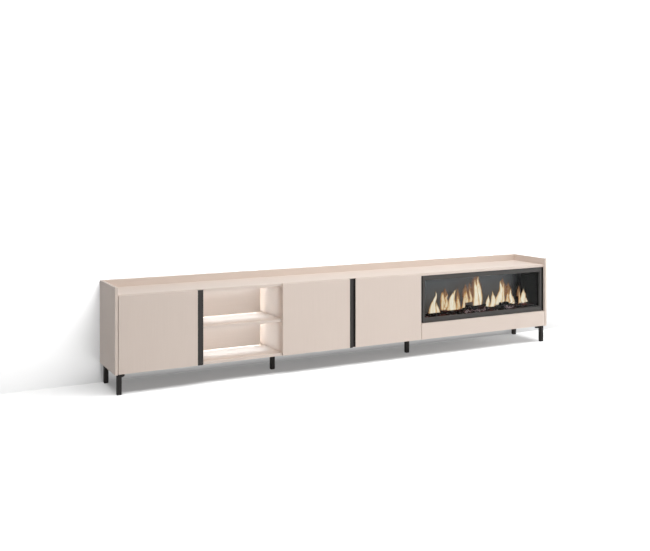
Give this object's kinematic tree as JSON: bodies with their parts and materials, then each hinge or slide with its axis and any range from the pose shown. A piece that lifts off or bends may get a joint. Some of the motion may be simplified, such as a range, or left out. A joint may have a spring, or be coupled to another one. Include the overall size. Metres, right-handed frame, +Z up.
{
  "type": "fireplace tv stand",
  "caption": "Long low television cabinet with hinged doors, an open lit niche and an electric fire behind glass, on slim square legs.",
  "frame": {"origin": "centre of the overall box in plan, on the floor", "axes": "+X to the right along the front as seen from in front, -Y out of the front, +Z up"},
  "size_m": [3.1, 0.35, 0.596],
  "materials": {
    "cashmere_board": "matt laminated board, warm grey beige",
    "cashmere_hardboard": "thin lacquered hardboard",
    "black_metal": "satin black powder coat",
    "fire_frame_metal": "dark grey powder coat",
    "fire_lining": "matt dark grey heat paint",
    "fire_glass": "clear toughened pane",
    "hinge_steel": "nickel plated",
    "lamp_diffuser": "frosted lamp strip, warm white",
    "inlet_plastic": "black moulded",
    "ember_bed": "moulded embers and stones, lit from below",
    "charred_log": "moulded charred bark",
    "flame_effect": "glowing flame effect"
  },
  "bodies": {
    "carcase": {"side_panel_left": "cashmere_board", "side_panel_right": "cashmere_board", "top_board_left": "cashmere_board", "top_board_right": "cashmere_board", "gallery_rail_left": "cashmere_board", "gallery_rail_right": "cashmere_board", "floor_board_left": "cashmere_board", "floor_board_middle": "cashmere_board", "floor_board_right": "cashmere_board", "partition_niche_left": "cashmere_board", "partition_niche_right": "cashmere_board", "partition_doors": "cashmere_board", "partition_fire": "cashmere_board", "back_panel_left": "cashmere_hardboard", "back_panel_middle": "cashmere_hardboard", "back_panel_right": "cashmere_hardboard", "shelf_door_1": "cashmere_board", "shelf_door_2": "cashmere_board", "shelf_door_3": "cashmere_board", "niche_shelf": "cashmere_board", "fire_shelf": "cashmere_board", "base_panel": "cashmere_board", "niche_light_panel_upper": "cashmere_board", "niche_lamp_strip_upper": "lamp_diffuser", "niche_light_panel_lower": "cashmere_board", "niche_lamp_strip_lower": "lamp_diffuser", "recess_strip": "black_metal", "hinge_arm_1_lower": "hinge_steel", "hinge_arm_1_upper": "hinge_steel", "hinge_arm_2_lower": "hinge_steel", "hinge_arm_2_upper": "hinge_steel", "hinge_arm_3_lower": "hinge_steel", "hinge_arm_3_upper": "hinge_steel", "leg_front_left": "black_metal", "leg_front_right": "black_metal", "leg_back_left": "black_metal", "leg_back_right": "black_metal", "leg_middle_left": "black_metal", "leg_middle_right": "black_metal", "fire_frame": "fire_frame_metal", "fire_glass": "fire_glass", "fire_housing": "fire_lining", "fire_inlet": "inlet_plastic", "fire_bed": "ember_bed", "fire_log_1": "charred_log", "fire_log_2": "charred_log", "fire_log_3": "charred_log", "fire_log_4": "charred_log", "flame_tongues": "flame_effect"},
    "door_1": {"door_1": "cashmere_board", "pull_door_1": "black_metal", "hinge_cup_1_lower": "hinge_steel", "hinge_cup_1_upper": "hinge_steel"},
    "door_2": {"door_2": "cashmere_board", "pull_door_2": "black_metal", "hinge_cup_2_lower": "hinge_steel", "hinge_cup_2_upper": "hinge_steel"},
    "door_3": {"door_3": "cashmere_board", "hinge_cup_3_lower": "hinge_steel", "hinge_cup_3_upper": "hinge_steel"}
  },
  "joints": [
    {"name": "door_1_hinge", "type": "hinge", "parent": "carcase", "child": "door_1", "pos_m": [-1.531, -0.175, 0.333], "axis": [0, 0, -1], "range_deg": [0, 105]},
    {"name": "door_2_hinge", "type": "hinge", "parent": "carcase", "child": "door_2", "pos_m": [-0.535, -0.175, 0.333], "axis": [0, 0, -1], "range_deg": [0, 105]},
    {"name": "door_3_hinge", "type": "hinge", "parent": "carcase", "child": "door_3", "pos_m": [0.468, -0.175, 0.333], "axis": [0, 0, 1], "range_deg": [0, 105]}
  ]
}
